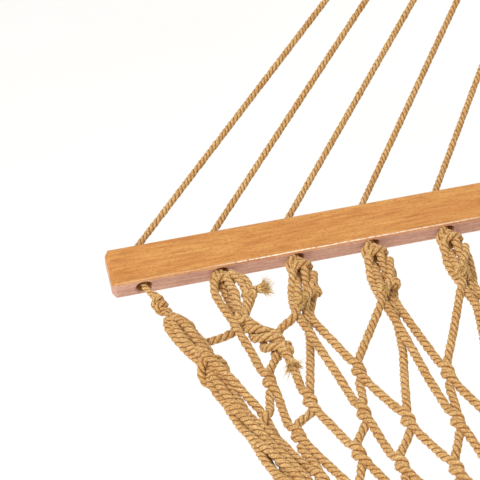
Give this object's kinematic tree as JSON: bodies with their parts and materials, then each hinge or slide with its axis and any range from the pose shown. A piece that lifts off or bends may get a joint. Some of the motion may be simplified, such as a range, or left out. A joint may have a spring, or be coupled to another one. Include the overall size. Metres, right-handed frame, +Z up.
{
  "type": "rope hammock on stand",
  "caption": "Wide rope hammock with hardwood spreader bars, hung by ring, spring hook and chain between the raised arms of a tubular steel floor stand.",
  "frame": {"origin": "on the floor, at the middle of the stand", "axes": "+X along the hammock towards its head end, +Y across it, +Z up"},
  "size_m": [3.6278, 1.397, 1.2075],
  "materials": {
    "frame_steel": "fine-textured dark powder coat",
    "black_plastic": "matt moulded plastic",
    "zinc": "bright zinc plating",
    "hardwood": "oil-rubbed hardwood, satin",
    "rope": "three-strand spun rope, matt"
  },
  "bodies": {
    "stand": {"base_centre_tube": "frame_steel", "base_elbow_head": "frame_steel", "base_elbow_foot": "frame_steel", "upright_head": "frame_steel", "upright_foot": "frame_steel", "upright_cap_head": "black_plastic", "upright_cap_foot": "black_plastic", "cross_foot_head": "frame_steel", "cross_foot_foot": "frame_steel", "foot_end_caps_head": "black_plastic", "foot_end_caps_foot": "black_plastic", "foot_saddle_head": "black_plastic", "foot_saddle_foot": "black_plastic", "saddle_bolts": "zinc", "saddle_nuts": "zinc", "joint_bolts": "zinc", "joint_nuts": "zinc", "eye_bolt_head": "zinc", "eye_bolt_foot": "zinc", "eye_bolt_washers": "zinc", "eye_bolt_nuts": "zinc"},
    "hammock": {"chain_head": "zinc", "chain_foot": "zinc", "snap_hook_head": "zinc", "snap_hook_foot": "zinc", "snap_hook_rivets": "zinc", "ring_head": "zinc", "ring_foot": "zinc", "spreader_bar_head": "hardwood", "spreader_bar_foot": "hardwood", "fan_ropes_head": "rope", "fan_ropes_foot": "rope", "bed_hitches_head": "rope", "bed_hitches_foot": "rope", "side_knots_head": "rope", "side_knots_foot": "rope", "side_rope_left": "rope", "side_rope_right": "rope", "bed_net": "rope"},
    "gate_head": {"snap_hook_gate_head": "zinc"},
    "gate_foot": {"snap_hook_gate_foot": "zinc"}
  },
  "joints": [
    {"name": "hammock_swing", "type": "hinge", "parent": "stand", "child": "hammock", "pos_m": [0, 0, 1.14704], "axis": [1, 0, 0], "range_deg": [-40, 40]},
    {"name": "gate_head_hinge", "type": "hinge", "parent": "hammock", "child": "gate_head", "pos_m": [1.6029, 0, 1.09736], "axis": [0, -1, 0], "range_deg": [0, 25], "stiffness_Nm_per_rad": 0.3, "springref_deg": -11.46},
    {"name": "gate_foot_hinge", "type": "hinge", "parent": "hammock", "child": "gate_foot", "pos_m": [-1.6029, 0, 1.09736], "axis": [0, 1, 0], "range_deg": [0, 25], "stiffness_Nm_per_rad": 0.3, "springref_deg": -11.46}
  ]
}
